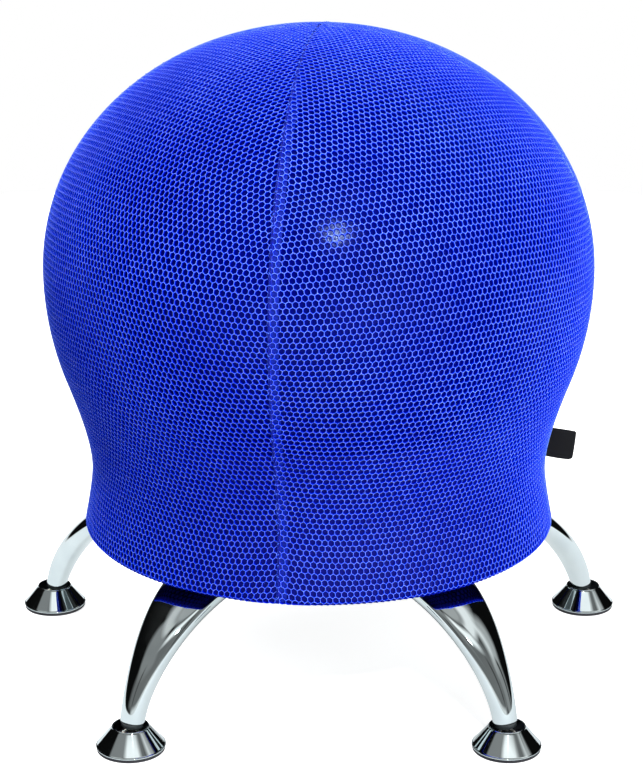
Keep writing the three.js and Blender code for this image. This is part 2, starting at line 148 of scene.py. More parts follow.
def cover_profile():
    """Points (radius, height) down the outside of the cover, from the top round the folded hem."""
    upper_rise = COVER_TOP - COVER_WIDEST
    leave_turn = math.degrees(math.asin(LEAVE_SHARE))
    upper = ellipse(COVER_RADIUS, upper_rise, COVER_WIDEST, 90, 0, PROFILE_POINTS, SHOULDER_FULLNESS)
    upper[0, 0] = 0
    lower = ellipse(COVER_RADIUS, COVER_RISE, COVER_WIDEST, 0, -leave_turn, PROFILE_POINTS)
    leave = lower[-1]
    drop = leave[1] - WAIST_HEIGHT
    slope = (COVER_RADIUS / COVER_RISE) ** 2 * (COVER_WIDEST - leave[1]) / leave[0]
    pull = SHOULDER_PULL_SHARE * drop
    shoulder_pull = (leave[0] - slope * pull, leave[1] - pull)
    waist_pull = (WAIST_RADIUS, WAIST_HEIGHT + WAIST_PULL_SHARE * drop)
    waist = (WAIST_RADIUS, WAIST_HEIGHT)
    skirt_pull = (WAIST_RADIUS, WAIST_HEIGHT - SKIRT_PULL)
    shoulder = bezier([leave, shoulder_pull, waist_pull, waist], PROFILE_POINTS)
    skirt = bezier([waist, skirt_pull, (HEM_RADIUS, HEM_HEIGHT)], PROFILE_POINTS)
    flare = math.atan2(HEM_RADIUS - WAIST_RADIUS, WAIST_HEIGHT - SKIRT_PULL - HEM_HEIGHT)
    skirt = skirt[skirt[:, 1] > HEM_HEIGHT + HEM_FOLD * (1 + math.sin(flare))]
    centre = skirt[-1] - HEM_FOLD * np.array([math.cos(flare), math.sin(flare)])
    turns = np.linspace(flare, -math.pi / 2, FOLD_POINTS)[1:]
    fold = centre + HEM_FOLD * on_circle(turns)
    fold[:, 1] += HEM_HEIGHT - fold[-1, 1]
    inward = np.linspace(fold[-1, 0], HEM_RADIUS - HEM_TURN, FOLD_POINTS)[1:]
    flange = np.column_stack([inward, np.full(len(inward), HEM_HEIGHT)])
    return joined(upper, lower[1:], shoulder[1:], skirt[1:], fold, flange)


PROFILE = cover_profile()
PROFILE_S = joined([0], np.cumsum(np.linalg.norm(np.diff(PROFILE, axis=0), axis=1)))
COVER_LENGTH = PROFILE_S[-1]
SLOPE_STEP = 1.5


def length_at(height, last=2 * (FOLD_POINTS - 1)):
    """Distance from the top at which the outside comes down to a height, without its last points."""
    return float(np.interp(-height, -PROFILE[:-last, 1], PROFILE_S[:-last]))


HEM_S = length_at(HEM_HEIGHT + HEM_FOLD, FOLD_POINTS)


def cover_radius(s):
    return np.interp(s, PROFILE_S, PROFILE[:, 0])


def cover_height(s):
    return np.interp(s, PROFILE_S, PROFILE[:, 1])


def profile_at(s, depth):
    """Radius and height at a distance s from the top and a depth below the crest."""
    s = np.clip(s, 0, COVER_LENGTH)
    dr = cover_radius(s + SLOPE_STEP) - cover_radius(s - SLOPE_STEP)
    dz = cover_height(s + SLOPE_STEP) - cover_height(s - SLOPE_STEP)
    length = np.maximum(np.hypot(dr, dz), 1e-9)
    return cover_radius(s) + depth * dz / length, cover_height(s) - depth * dr / length


def on_cover(s, turn, depth):
    """Points at a distance s from the top, a turn in radians and a depth below the crest."""
    r, z = profile_at(s, depth)
    return np.stack([r * np.sin(turn), AXIS_Y - r * np.cos(turn), z], axis=-1)


# Meshes

ON_AXIS = 1e-6


def make_mesh(name, points, faces, material, smooth=True, uv=None, depth=None):
    """faces is a list of whole-number arrays, each (count, corners). Points are in millimetres."""
    mesh = bpy.data.meshes.new(name)
    points = np.asarray(points, float) * MM
    mesh.vertices.add(len(points))
    mesh.vertices.foreach_set("co", points.astype(np.float32).ravel())
    corners = np.concatenate([np.asarray(f, np.int32).ravel() for f in faces])
    counts = np.concatenate([np.full(len(f), np.shape(f)[1], np.int32) for f in faces])
    starts = joined([0], np.cumsum(counts)[:-1]).astype(np.int32)
    mesh.loops.add(len(corners))
    mesh.loops.foreach_set("vertex_index", corners)
    mesh.polygons.add(len(counts))
    mesh.polygons.foreach_set("loop_start", starts)
    mesh.polygons.foreach_set("use_smooth", np.full(len(counts), smooth))
    if uv is not None:
        layer = mesh.uv_layers.new(name="OFBake")
        layer.uv.foreach_set("vector", np.asarray(uv, np.float32)[corners].ravel())
    if depth is not None:
        values = mesh.attributes.new("depth", "FLOAT", "POINT").data
        values.foreach_set("value", np.asarray(depth, np.float32))
    mesh.update(calc_edges=True)
    mesh.validate()
    mesh.materials.append(material)
    return link(name, mesh)


def link(name, data):
    thing = bpy.data.objects.new(name, data)
    bpy.context.scene.collection.objects.link(thing)
    return thing


def settle(piece, body, slot, *nodes):
    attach(piece, body)
    if nodes:
        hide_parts(*nodes)
    return piece


def swung(points, angle):
    """Points turned round the upright axis."""
    c, s = math.cos(angle), math.sin(angle)
    x, y, z = points.T
    return np.column_stack([x * c - y * s, x * s + y * c, z])


def build(name, shape, material, body, slot, *nodes, angle=0.0, smooth=True):
    """A piece made of (points, faces) and turned by an angle round the chair's own axis."""
    points, faces = shape
    placed = swung(points, angle) + np.array([0, AXIS_Y, 0])
    return settle(make_mesh(name, placed, faces, material, smooth), body, slot, *nodes)


def leg_angle(index):
    return math.pi / 2 - index * CIRCLE / LEG_COUNT


def ring_faces(rings, sides, closed=True):
    """Quads between rings of points that follow each other."""
    r = np.arange(rings - 1)[:, None] * sides
    s = np.arange(sides if closed else sides - 1)[None, :]
    n = (s + 1) % sides
    return np.stack([r + s, r + n, r + n + sides, r + s + sides], axis=-1).reshape(-1, 4)


def revolved(profile, sides):
    """Points and faces of a profile (radius, height) turned round the upright axis.

    An end that lies on the axis closes to a point.
    """
    profile = np.asarray(profile, float)
    turns = circle_turns(sides)
    rings = profile[profile[:, 0] > ON_AXIS]
    radius, height = rings[:, :1], rings[:, 1:]
    points = np.stack([radius * np.cos(turns), radius * np.sin(turns), height + 0 * turns], axis=-1)
    points = points.reshape(-1, 3)
    faces = [ring_faces(len(rings), sides)]
    s = np.arange(sides)
    n = (s + 1) % sides
    last = (len(rings) - 1) * sides
    for end, first, second in ((profile[0], n, s), (profile[-1], last + s, last + n)):
        if end[0] <= ON_AXIS:
            faces.append(np.column_stack([np.full(sides, len(points)), first, second]))
            points = joined(points, [[0, 0, end[1]]])
    return points, faces


def closed_revolved(profile, sides):
    """A closed band turned round the axis."""
    points, faces = revolved(profile, sides)
    s = np.arange(sides)
    n = (s + 1) % sides
    last = (len(profile) - 1) * sides
    faces.append(np.column_stack([last + s, last + n, n, s]))
    return points, faces


def lofted(rings):
    """Points and faces of closed rings in order from bottom to top, with both ends capped."""
    sides = len(rings[0])
    around = np.arange(sides)[None, :]
    faces = [ring_faces(len(rings), sides), around[:, ::-1], around + (len(rings) - 1) * sides]
    return np.concatenate(rings), faces


def merged(shapes):
    """One list of points and one list of faces from several (points, [faces])."""
    points, faces, start = [], [], 0
    for shape_points, shape_faces in shapes:
        points.append(shape_points)
        faces.extend(np.asarray(f) + start for f in shape_faces)
        start += len(shape_points)
    return np.concatenate(points), faces


def rounded(*corners, steps=5):
    """A line of points (radius, height) from corners (radius, height, rounding)."""
    ends = np.array(corners, float)[:, :2]
    line = []
    for i, (corner, (_, _, rounding)) in enumerate(zip(ends, corners)):
        if rounding <= 0 or i in (0, len(ends) - 1):
            line.append(corner)
            continue
        arc = [corner]
        for near, other in ((0, ends[i - 1]), (2, ends[i + 1])):
            way = other - corner
            far = np.linalg.norm(way)
            arc.insert(near, corner + way / far * min(rounding, far / 2))
        line.extend(bezier(arc, steps))
    return np.array(line)


# Materials

def linear(*srgb):
    """Colour of three parts from 0 to 255, as Blender's linear colour."""
    parts = [c / 255 for c in srgb]
    return tuple(c / 12.92 if c <= 0.04045 else ((c + 0.055) / 1.055) ** 2.4 for c in parts) + (1,)


WHITE = linear(255, 255, 255)
# Places in a noise between which a colour goes from its first shade to its second
NOISE_ENDS = (0.3, 0.7)


class Tree:
    """The nodes of a material or a world, with short ways to add to them."""

    def __init__(self, owner):
        owner.use_nodes = True
        self.nodes = owner.node_tree.nodes
        self.links = owner.node_tree.links

    def fill(self, socket, value):
        if isinstance(value, bpy.types.NodeSocket):
            self.links.new(value, socket)
        else:
            socket.default_value = value

    def node(self, kind, *values, **named):
        """A new node, with its settings in small letters and its inputs by name or in order."""
        node = self.nodes.new("ShaderNode" + kind)
        for key, value in named.items():
            if key.islower():
                setattr(node, key, value)
            else:
                self.fill(node.inputs[key.replace("_", " ")], value)
        for socket, value in zip([s for s in node.inputs if s.enabled], values):
            self.fill(socket, value)
        return node

    def add(self, kind, *values, **named):
        """What a new node gives."""
        return next(s for s in self.node(kind, *values, **named).outputs if s.enabled)

    def math(self, operation, *values):
        return self.add("Math", *values, operation=operation)


class Paint(Tree):
    """A material, and what is wired to its shader."""

    def __init__(self, name):
        self.material = bpy.data.materials.new(name)
        super().__init__(self.material)
        self.shader = self.nodes["Principled BSDF"]
        self.coords = self.node("TexCoord").outputs["Object"]

    def set(self, **values):
        for key, value in values.items():
            self.fill(self.shader.inputs[key.replace("_", " ")], value)
        return self

    def noise(self, scale, detail=2.0, stretch=None):
        source = self.coords
        if stretch is not None:
            source = self.add("Mapping", Vector=source, Scale=stretch)
        return self.add("TexNoise", Vector=source, Scale=scale, Detail=detail)

    def ramp(self, source, *stops):
        """A colour by its source, from stops of a place and three parts from 0 to 255."""
        node = self.node("ValToRGB", source)
        elements = node.color_ramp.elements
        for place, _ in stops[2:]:
            elements.new(place)
        for element, (place, colour) in zip(elements, sorted(stops)):
            element.position = place
            element.color = linear(*colour)
        return node.outputs["Color"]

    def spread(self, source, low, high):
        return self.add("MapRange", Value=source, To_Min=low, To_Max=high)

    def bump(self, source, strength, distance):
        return self.set(Normal=self.add("Bump", Height=source, Strength=strength, Distance=distance))


def finish(name, colour, roughness, bump, **values):
    """A material whose shade, roughness and surface wander a little.

    colour is the scale of its noise and two shades, and the noise's places for them where these are
    not NOISE_ENDS. roughness is a number, or the scale of its noise and two numbers. bump is what
    Paint.noise takes, then its strength and distance.
    """
    paint = Paint(name)
    scale, first, second, *ends = colour
    shade = paint.ramp(paint.noise(scale), *zip(ends or NOISE_ENDS, (first, second)))
    if isinstance(roughness, tuple):
        scale, low, high = roughness
        roughness = paint.spread(paint.noise(scale), low, high)
    paint.set(Base_Color=shade, Roughness=roughness, **values)
    *texture, strength, distance = bump
    return paint.bump(paint.noise(*texture), strength, distance).material


def black(name, first, second, roughness, grain, strength):
    """A dark plastic, rubber or cloth, all of whose noise follows one grain."""
    spread = (grain / 3, roughness - 0.07, roughness + 0.07)
    return finish(name, (grain / 8, first, second), spread, (grain, strength, 0.0003))


# Share of the net's depth ramp at which the wells lie; beyond it lies the painted shade of the hem's
# turned-in edge
WELL_SHADE = 0.9


def net_material():
    paint = Paint("cover_mesh")
    wide = paint.ramp(paint.noise(9.0), (0.3, (214, 214, 240)), (0.7, (255, 255, 255)))
    # Colour by depth below the crest: the whitish crest is a painted highlight, and the darkening down the
    # walls into the wells is painted shade, partly the darker pile yarn of the mesh
    yarn_with_painted_light = paint.ramp(
        paint.node("Attribute", attribute_name="depth").outputs["Fac"],
        (0.0, (232, 246, 255)),
        (0.03, (48, 122, 255)),
        (0.09, (0, 42, 236)),
        (0.36, (0, 18, 178)),
        (WELL_SHADE, (0, 7, 122)),
        # Last stop: painted shade under the hem's turned-in edge
        (1.0, (0, 2, 54)),
    )
    paint.set(
        Base_Color=paint.add("Mix", 1.0, yarn_with_painted_light, wide, data_type="RGBA", blend_type="MULTIPLY"),
        Roughness=paint.spread(paint.noise(420.0), 0.36, 0.5),
        Specular_IOR_Level=0.015,
        Specular_Tint=linear(190, 215, 255),
    )
    return paint.bump(paint.noise(2600.0), 0.25, 0.0004).material


def woven_material():
    """Ribbon weave of the tag, from two crossed waves."""
    paint = Paint("woven_ribbon")
    waves = [
        paint.node("TexWave", wave_type="BANDS", bands_direction=way, Vector=paint.coords, Scale=620.0)
        for way in ("X", "Z")
    ]
    weave = paint.math("MULTIPLY", *(wave.outputs["Fac"] for wave in waves))
    colour = paint.ramp(weave, (0.1, (2, 3, 5)), (0.9, (11, 12, 17)))
    paint.set(Base_Color=colour, Roughness=0.8, Specular_IOR_Level=0.25)
    return paint.bump(weave, 0.5, 0.0002).material


NET = net_material()
SEAM = finish(
    "seam_tape",
    (700.0, (2, 14, 120), (6, 26, 160), 0.35, 0.65),
    0.75,
    (3200.0, 0.3, 0.0003),
    Specular_IOR_Level=0.2,
)
ALLOWANCE = finish(
    "seam_allowance",
    (500.0, (1, 22, 132), (4, 34, 164), 0.35, 0.65),
    0.7,
    (2600.0, 0.3, 0.0003),
    Specular_IOR_Level=0.2,
)
THREAD = finish(
    "stitch_thread",
    (900.0, (40, 84, 236), (84, 130, 252)),
    0.6,
    (5200.0, 2.0, (1, 1, 0.3), 0.4, 0.0002),
    Specular_IOR_Level=0.3,
)
VINYL = finish(
    "ball_vinyl",
    (14.0, (0, 3, 96), (1, 6, 110)),
    (60.0, 0.1, 0.15),
    (700.0, 0.25, 0.0004),
    Specular_IOR_Level=0.1,
    Specular_Tint=linear(178, 206, 235),
)
FACING = finish(
    "cover_facing",
    (400.0, (0, 4, 98), (1, 8, 118)),
    0.7,
    (2200.0, 0.3, 0.0003),
    Specular_IOR_Level=0.1,
)
CHROME = finish(
    "chrome_plate",
    (30.0, (214, 226, 228), (226, 237, 238)),
    (240.0, 0.025, 0.055),
    (55.0, 1.0, 0.05, 0.0006),
    Metallic=1.0,
)
STEEL = finish(
    "zinc_steel",
    (160.0, (140, 143, 146), (176, 178, 180)),
    (500.0, 0.28, 0.42),
    (1800.0, 0.1, 0.0002),
    Metallic=1.0,
)
PLASTIC = black("moulded_plastic", (15, 16, 18), (25, 26, 29), 0.42, 1500.0, 0.15)
GLOSS_PLASTIC = black("plug_plastic", (36, 41, 43), (48, 54, 56), 0.2, 1500.0, 0.08)
RUBBER = black("glide_rubber", (19, 20, 27), (32, 33, 41), 0.6, 1100.0, 0.12)
ELASTIC = black("ribbed_elastic", (12, 13, 20), (26, 27, 36), 0.8, 2400.0, 0.5)
NYLON = finish(
    "white_nylon",
    (80.0, (214, 212, 204), (228, 226, 219)),
    0.5,
    (1400.0, 0.06, 0.0002),
    Subsurface_Weight=0.1,
)
WOVEN = woven_material()


# Cover: four gores of net

RANDOM = np.random.default_rng(SEED)
WARP_PHASES = RANDOM.uniform(0, CIRCLE, 8)
CLOTH_REACH = 760.0
FLAT = np.arange(0.0, CLOTH_REACH)
LAID = joined([0], np.cumsum(np.interp(FLAT, ROW_AT, ROW_PITCH) / CELL_ALONG)[:-1])
# Makes one whole number of a crest's row and column on the lattice
ROW_KEY = 100000
SMALLEST_FACE = 0.02


def warp(u, v, gore):
    """Slow wander of the cloth."""
    p = WARP_PHASES + gore * 1.7
    k = CIRCLE / WARP_WAVE
    du = np.sin(k * u + p[0]) * np.sin(0.8 * k * v + p[1]) + 0.6 * np.sin(0.6 * k * (u + v) + p[2])
    dv = np.sin(0.9 * k * u + p[3]) * np.sin(0.7 * k * v + p[4]) + 0.6 * np.sin(0.5 * k * (u - v) + p[5])
    return WARP_REACH / 2 * du, WARP_REACH / 2 * dv


def fabric_place(u, v):
    """Distance from the top and turn from the gore's middle, of a point of the flat cloth."""
    middle = np.interp(v, FLAT, LAID)
    dip = np.interp(middle, DIP_AT, DIP_DEEP)
    lift = np.interp(middle, LIFT_AT, LIFT_HIGH)
    s = middle
    for _ in range(CLOTH_ROUNDS):
        half = np.maximum(cover_radius(s), 1e-3) * SEAM_TURN
        across = u * np.interp(s, ACROSS_AT, ACROSS_PITCH) / CELL_ACROSS
        share = np.clip(np.abs(across) / half, 0, 1.2)
        across = across * (1 + np.interp(s, ACROSS_AT, ACROSS_GROWTH) * share**2 / 3)
        share = np.clip(np.abs(across) / half, 0, 1.1)
        s = middle + dip * share**2 - lift * share**4
    return s, across / np.maximum(cover_radius(s), 1e-3)


def gore_net(index):
    """One gore: a rim and a well for every cell, and crests that neighbouring cells share."""
    rows = int(COVER_LENGTH / CELL_ALONG) + 6
    columns = int(COVER_RADIUS * SEAM_TURN / min(ACROSS_PITCH)) + 3
    j, i = np.meshgrid(np.arange(rows), np.arange(-columns, columns + 1), indexing="ij")
    s, turn = fabric_place((i + 0.5 * (j % 2)) * CELL_ACROSS, (j + 0.6) * CELL_ALONG)
    limit = SEAM_TURN + 0.25 * CELL_ACROSS / np.maximum(cover_radius(s), 1e-3)
    keep = (np.abs(turn) < limit) & (s < COVER_LENGTH - 0.4 * CELL_ALONG)
    i, j = i[keep], j[keep]
    # Crest corners on a fine whole-number lattice, so that neighbours share them
    half = 2 * i + (j % 2)
    corner_x = np.column_stack([half, half + 1, half + 1, half, half - 1, half - 1])
    corner_y = np.column_stack([3 * j - 2, 3 * j - 1, 3 * j + 1, 3 * j + 2, 3 * j + 1, 3 * j - 1])
    key = corner_y.astype(np.int64) * ROW_KEY + corner_x
    unique, shared = np.unique(key, return_inverse=True)
    shared = shared.reshape(key.shape)
    y = np.round(unique / ROW_KEY).astype(np.int64)
    x = unique - y * ROW_KEY
    jitter = RANDOM.normal(0, JITTER, (2, len(unique)))
    crest_u = x * CELL_ACROSS / 2 + jitter[0]
    crest_v = np.maximum((y / 3 + 0.6) * CELL_ALONG + jitter[1], 0.2 * CELL_ALONG)
    size = RANDOM.normal(1, CELL_SPREAD, (len(i), 1))

    def shrunk(share):
        for crest in (crest_u, crest_v):
            centre = crest[shared].mean(1, keepdims=True)
            yield centre + (crest[shared] - centre) * share * size

    layers = []
    for (u, v), drop in (
        ((crest_u, crest_v), 0.0),
        (shrunk(RIM_SHARE), RIM_DROP),
        (shrunk(WELL_SHARE), WELL_DROP),
    ):
        wander_u, wander_v = warp(u, v, index)
        fade = np.clip(v / 60, 0, 1)
        s, turn = fabric_place(u + wander_u * fade, np.maximum(v + wander_v * fade, 0.15 * CELL_ALONG))
        edge = SEAM_TURN - SEAM_HALF / np.maximum(cover_radius(s), 1.0)
        turn = np.clip(turn, -edge, edge)
        middle = FIRST_SEAM + SEAM_TURN * (2 * index + 1)
        points = on_cover(s, middle + turn, drop).reshape(-1, 3)
        layers.append((points, s.ravel(), turn.ravel(), np.full(s.size, drop)))
    points, s, turn, depth = (np.concatenate(layer) for layer in zip(*layers))
    cells = len(i)
    rim = len(unique) + np.arange(cells * 6).reshape(cells, 6)
    crest, rim_next, crest_next = shared, np.roll(rim, -1, axis=1), np.roll(shared, -1, axis=1)
    well, well_next = rim + cells * 6, rim_next + cells * 6
    slopes = np.stack([rim, rim_next, crest_next, crest], axis=-1).reshape(-1, 4)
    walls = np.stack([well, well_next, rim_next, rim], axis=-1).reshape(-1, 4)
    faces = joined(slopes, walls)
    across = 0.5 + 0.49 * turn / SEAM_TURN * cover_radius(s) / COVER_RADIUS
    uv = np.column_stack([across, 0.01 + 0.98 * s / COVER_LENGTH])
    # Faces with no width, where corners were drawn in to the seam, are left out
    edges = points[faces]
    size_of = np.linalg.norm(np.cross(edges[:, 2] - edges[:, 0], edges[:, 3] - edges[:, 1]), axis=1)
    used, back = np.unique(faces[size_of > SMALLEST_FACE], return_inverse=True)
    # The turned-in edge of the hem is darkened towards the ramp's last stop: painted shade under the hem
    hem_painted_shade = np.clip((s - HEM_S - HEM_FOLD) / HEM_FOLD, 0, 1)
    depth = np.maximum(depth / WELL_DROP * WELL_SHADE, hem_painted_shade)
    return points[used], back.reshape(-1, 4), uv[used], depth[used]


for g, name in enumerate(("front_right", "back_right", "back_left", "front_left")):
    points, faces, uv, depth = gore_net(g)
    piece = make_mesh(f"cover_gore_{name}", points, [faces], NET, uv=uv, depth=depth)
    settle(piece, FRAME_BODY, "cover_mesh", "mesh_cover")


# Seams between the gores: a sunk tape, stitches across it and the allowance under the net

SEAM_NAMES = ("front", "right", "back", "left")
SEAM_SINK = 0.9
STRIP_START = 0.5
STRIP_STEP = 3.0
STITCH_EVERY = 9.4
STITCH_START = 12.0
STITCH_RADIUS = 0.36
STITCH_REACH = 1.5
STITCH_SHIFT = -0.4
STITCH_SIDES = 6
STITCH_RINGS = 7
ALLOWANCE_WIDTH = 7.5
ALLOWANCE_DEPTH = 1.95


def seam_strip(turn, offsets, depths):
    """A strip down a seam: offsets across it and depths below the crest."""
    s = np.arange(STRIP_START, COVER_LENGTH, STRIP_STEP)[:, None]
    offsets = np.array(offsets, float)
    radius = np.maximum(cover_radius(s), 0.8)
    reach = np.minimum(np.abs(offsets), SEAM_TURN * radius)
    turns = turn + np.sign(offsets) * reach / radius
    points = on_cover(s + 0 * offsets, turns, np.array(depths, float))
    return points.reshape(-1, 3), [ring_faces(len(s), len(offsets), closed=False)[:, ::-1]]


def stitches(turn):
    """Short rounded stitches across the seam."""
    points, faces, ends = [], [], []
    around = np.arange(STITCH_SIDES)
    c, s = np.cos(circle_turns(STITCH_SIDES))[:, None], np.sin(circle_turns(STITCH_SIDES))[:, None]
    shares = np.linspace(-1, 1, STITCH_RINGS)
    thick = STITCH_RADIUS * np.sqrt(np.clip(1 - 0.75 * shares**4, 0.05, 1))
    last = (STITCH_RINGS - 1) * STITCH_SIDES
    for place in np.arange(STITCH_START, COVER_LENGTH - 4, STITCH_EVERY):
        lean = RANDOM.uniform(-0.9, 0.9)
        reach = STITCH_REACH * RANDOM.uniform(0.75, 1.15)
        start = len(points) * STITCH_RINGS * STITCH_SIDES
        turns = turn + (STITCH_SHIFT + reach * shares / 2) / cover_radius(place)
        centre = on_cover(place + lean * shares, turns, 0.55 - 0.75 * (1 - shares**2))
        along = np.gradient(centre, axis=0)
        along /= np.linalg.norm(along, axis=1, keepdims=True)
        out = on_cover(place, turn, -1.0) - on_cover(place, turn, 0.0)
        side = np.cross(along, out)
        side /= np.linalg.norm(side, axis=1, keepdims=True)
        up = np.cross(side, along)
        tube = centre[:, None, :] + thick[:, None, None] * (c * side[:, None, :] + s * up[:, None, :])
        points.append(tube.reshape(-1, 3))
        faces.append(ring_faces(STITCH_RINGS, STITCH_SIDES)[:, ::-1] + start)
        ends.append([start + around, start + last + around[::-1]])
    return np.concatenate(points), [np.concatenate(faces), np.concatenate(ends)]


for n, name in enumerate(SEAM_NAMES):
    turn = FIRST_SEAM + 2 * SEAM_TURN * n
    tape = seam_strip(
        turn,
        [-1.5, -0.75, -0.35, 0, 0.35, 0.75, 1.5],
        [1.4, 0.55, SEAM_SINK, 1.2, SEAM_SINK, 0.55, 1.4],
    )
    deep = ALLOWANCE_DEPTH + 0.1
    allowance = seam_strip(turn, [0.4, 2.4, 5.0, ALLOWANCE_WIDTH], [ALLOWANCE_DEPTH] * 3 + [deep])
    sewn = [
        settle(make_mesh(f"{label}_{name}", *shape, material), FRAME_BODY, "cover_mesh")
        for label, shape, material in (
            ("seam", tape, SEAM),
            ("seam_allowance", allowance, ALLOWANCE),
            ("stitches", stitches(turn), THREAD),
        )
    ]


# Facing behind the net of the skirt, where the ball has left the cover

FACING_DEPTH = 2.05
FACING_TOP = 262.0
FACING_SIDES = 180
FACING_RINGS = 60
FACING_INSET = 3.0

facing_start = length_at(FACING_TOP)
facing_s = np.linspace(facing_start, COVER_LENGTH - FACING_INSET, FACING_RINGS)[:, None]
facing_turns = circle_turns(FACING_SIDES)
facing = make_mesh(
    "cover_facing",
    on_cover(facing_s + 0 * facing_turns, facing_turns, FACING_DEPTH).reshape(-1, 3),
    [ring_faces(FACING_RINGS, FACING_SIDES)[:, ::-1]],
    FACING,
)
settle(facing, FRAME_BODY, "cover_mesh")


# Ball skin under the net

BALL_FLOOR = 138.4
BALL_SIDES = 160
BALL_RINGS = 64


def ball_profile():
    inset = COVER_THICKNESS + SEAT_GAP
    upper_rise = COVER_TOP - COVER_WIDEST - inset
    lower_rise = COVER_RISE - inset
    radius = COVER_RADIUS - inset
    floor_turn = math.degrees(math.asin((COVER_WIDEST - BALL_FLOOR) / lower_rise))
    upper = ellipse(radius, upper_rise, COVER_WIDEST, 90, 0, BALL_RINGS, SHOULDER_FULLNESS)
    upper[0, 0] = 0
    lower = ellipse(radius, lower_rise, COVER_WIDEST, 0, -floor_turn, BALL_RINGS)[1:]
    floor = [[lower[-1, 0] * share, BALL_FLOOR] for share in (0.98, 0.6, 0.2, 0)]
    return joined(upper, lower, floor)[::-1]


build("ball_skin", revolved(ball_profile(), BALL_SIDES), VINYL, FRAME_BODY, "ball_vinyl", "ball")


# Legs and feet, as in the solids

LEG_END_WIDTH = 21.0
LEG_END_DEPTH = 19.0
LEG_MIDDLE_DEPTH = 27.5
TONGUE_WIDTH = 64.0
TONGUE_DEPTH = 14.0
LEG_END_HEIGHT = 23.0
LEG_LEAN = math.radians(12)
FOOT_PULL = 42.0
TONGUE_PULL = 66.0
BEND_RADIUS = 146.0
TONGUE_INNER = 74.0
LEG_WALL = 1.8
LEG_ROUNDNESS = 2.2
LEG_SQUARENESS = 4.5
LEG_SQUARE_DELAY = 4
BASE_FLOOR = 5.0
BASE_PAD_DROP = 6.0
STUD_HEIGHT = 10.5
TONGUE_TOP = BALL_FLOOR - SEAT_GAP - BASE_FLOOR - BASE_PAD_DROP - SEAT_GAP
TONGUE_HEIGHT = TONGUE_TOP - TONGUE_DEPTH / 2
LEG_END_RADIUS = FOOT_CIRCLE - (LEG_END_HEIGHT - STUD_HEIGHT) * math.tan(LEG_LEAN)
LEG_SIDES = 72
LEG_RINGS = 120
# The tongue's end and the leg's open end: how far each ring lies in from the leg's surface, and how
# far along it stands
TONGUE_TIP = ((6.0, 0.0), (2.5, 0.0), (0.8, 0.0), (0.0, 0.8))
LEG_RIM = ((0.0, 0.5), (0.15, 0.15), (0.5, 0.0), (LEG_WALL - 0.4, 0.0), (LEG_WALL, 0.4))
LEG_INSIDE = (0.08, 0.16, 0.24, 0.32)
LEG_LINE = np.array(
    [
        (LEG_END_RADIUS, LEG_END_HEIGHT),
        (LEG_END_RADIUS - FOOT_PULL * math.sin(LEG_LEAN), LEG_END_HEIGHT + FOOT_PULL * math.cos(LEG_LEAN)),
        (BEND_RADIUS + TONGUE_PULL, TONGUE_HEIGHT),
        (BEND_RADIUS, TONGUE_HEIGHT),
    ]
)


def leg_section(share, inset=0.0, shift=0.0, place=None):
    """A ring of the leg at a share of its way from the foot, shifted along it, or at another place."""
    way = bezier_at(np.diff(LEG_LINE, axis=0), share)[0]
    along = way / np.linalg.norm(way)
    if place is None:
        place = bezier_at(LEG_LINE, share)[0] + along * shift
    ease = share * share * (3 - 2 * share)
    half_width = (LEG_END_WIDTH + (TONGUE_WIDTH - LEG_END_WIDTH) * ease) / 2 - inset
    rest = 1 - share
    depth = rest * rest * LEG_END_DEPTH + 2 * rest * share * LEG_MIDDLE_DEPTH + share * share * TONGUE_DEPTH
    half_depth = depth / 2 - inset
    power = 2 / (LEG_ROUNDNESS + (LEG_SQUARENESS - LEG_ROUNDNESS) * share**LEG_SQUARE_DELAY)
    turns = CIRCLE * (np.arange(LEG_SIDES) + 0.5) / LEG_SIDES
    c, d = np.cos(turns), np.sin(turns)
    across = half_width * np.sign(c) * np.abs(c) ** power
    deep = half_depth * np.sign(d) * np.abs(d) ** power
    return np.column_stack([place[0] + deep * along[1], across, place[1] - deep * along[0]])


def leg_shape():
    rings = [
        leg_section(1.0, inset, place=(TONGUE_INNER + shift, TONGUE_HEIGHT)) for inset, shift in TONGUE_TIP
    ]
    rings += [leg_section(n / LEG_RINGS) for n in range(LEG_RINGS, 0, -1)]
    rings += [leg_section(0.0, inset, shift) for inset, shift in LEG_RIM]
    rings += [leg_section(share, LEG_WALL) for share in LEG_INSIDE]
    return lofted(rings)


PLUG_COLLAR = 5.0
PLUG_RADIUS = 9.6
LEG_END_DISTANCE = (LEG_END_HEIGHT - STUD_HEIGHT) / math.cos(LEG_LEAN)
PLUG_FACE = LEG_END_DISTANCE - PLUG_COLLAR
PLUG_BODY = LEG_END_DEPTH / 2 - LEG_WALL
PLUG_LENGTH = 14.0
STUD_BALL = 6.0
STUD_NECK = 2.5
STUD_SHANK = 3.8
STUD_LENGTH = 12.0
PAD_RADIUS = 29.0
PAD_THICKNESS = 2.5
PAD_SPIGOT = 2.0
CUP_RADIUS = 29.5
CUP_FOOT = PAD_THICKNESS + SEAT_GAP
CUP_BEAD = 1.4
CUP_BEAD_TOP = CUP_FOOT + CUP_BEAD
CUP_BEAD_WIDTH = 0.9
CUP_TOP_RADIUS = 15.8
CUP_TOP = 21.3
CUP_WALL = 1.3
BUSH_RADIUS = 8.5
BUSH_HALF = 4.0
BUSH_GAP = 0.3
SOCKET_LIP = 3.0
SOCKET_GAP = 0.2
SOCKET_BOSS = 10.8
FOOT_SIDES = 96
SMALL_SIDES = 48


def leaned(shape):
    """From a stud's own upright axis to its place on the leg, in the leg's own plane."""
    points, faces = shape
    c, s = math.cos(LEG_LEAN), math.sin(LEG_LEAN)
    x, y, z = points.T
    return np.column_stack([x * c - z * s + FOOT_CIRCLE, y, x * s + z * c + STUD_HEIGHT]), faces


def outward(shape, reach):
    points, faces = shape
    return points + np.array([reach, 0, 0]), faces


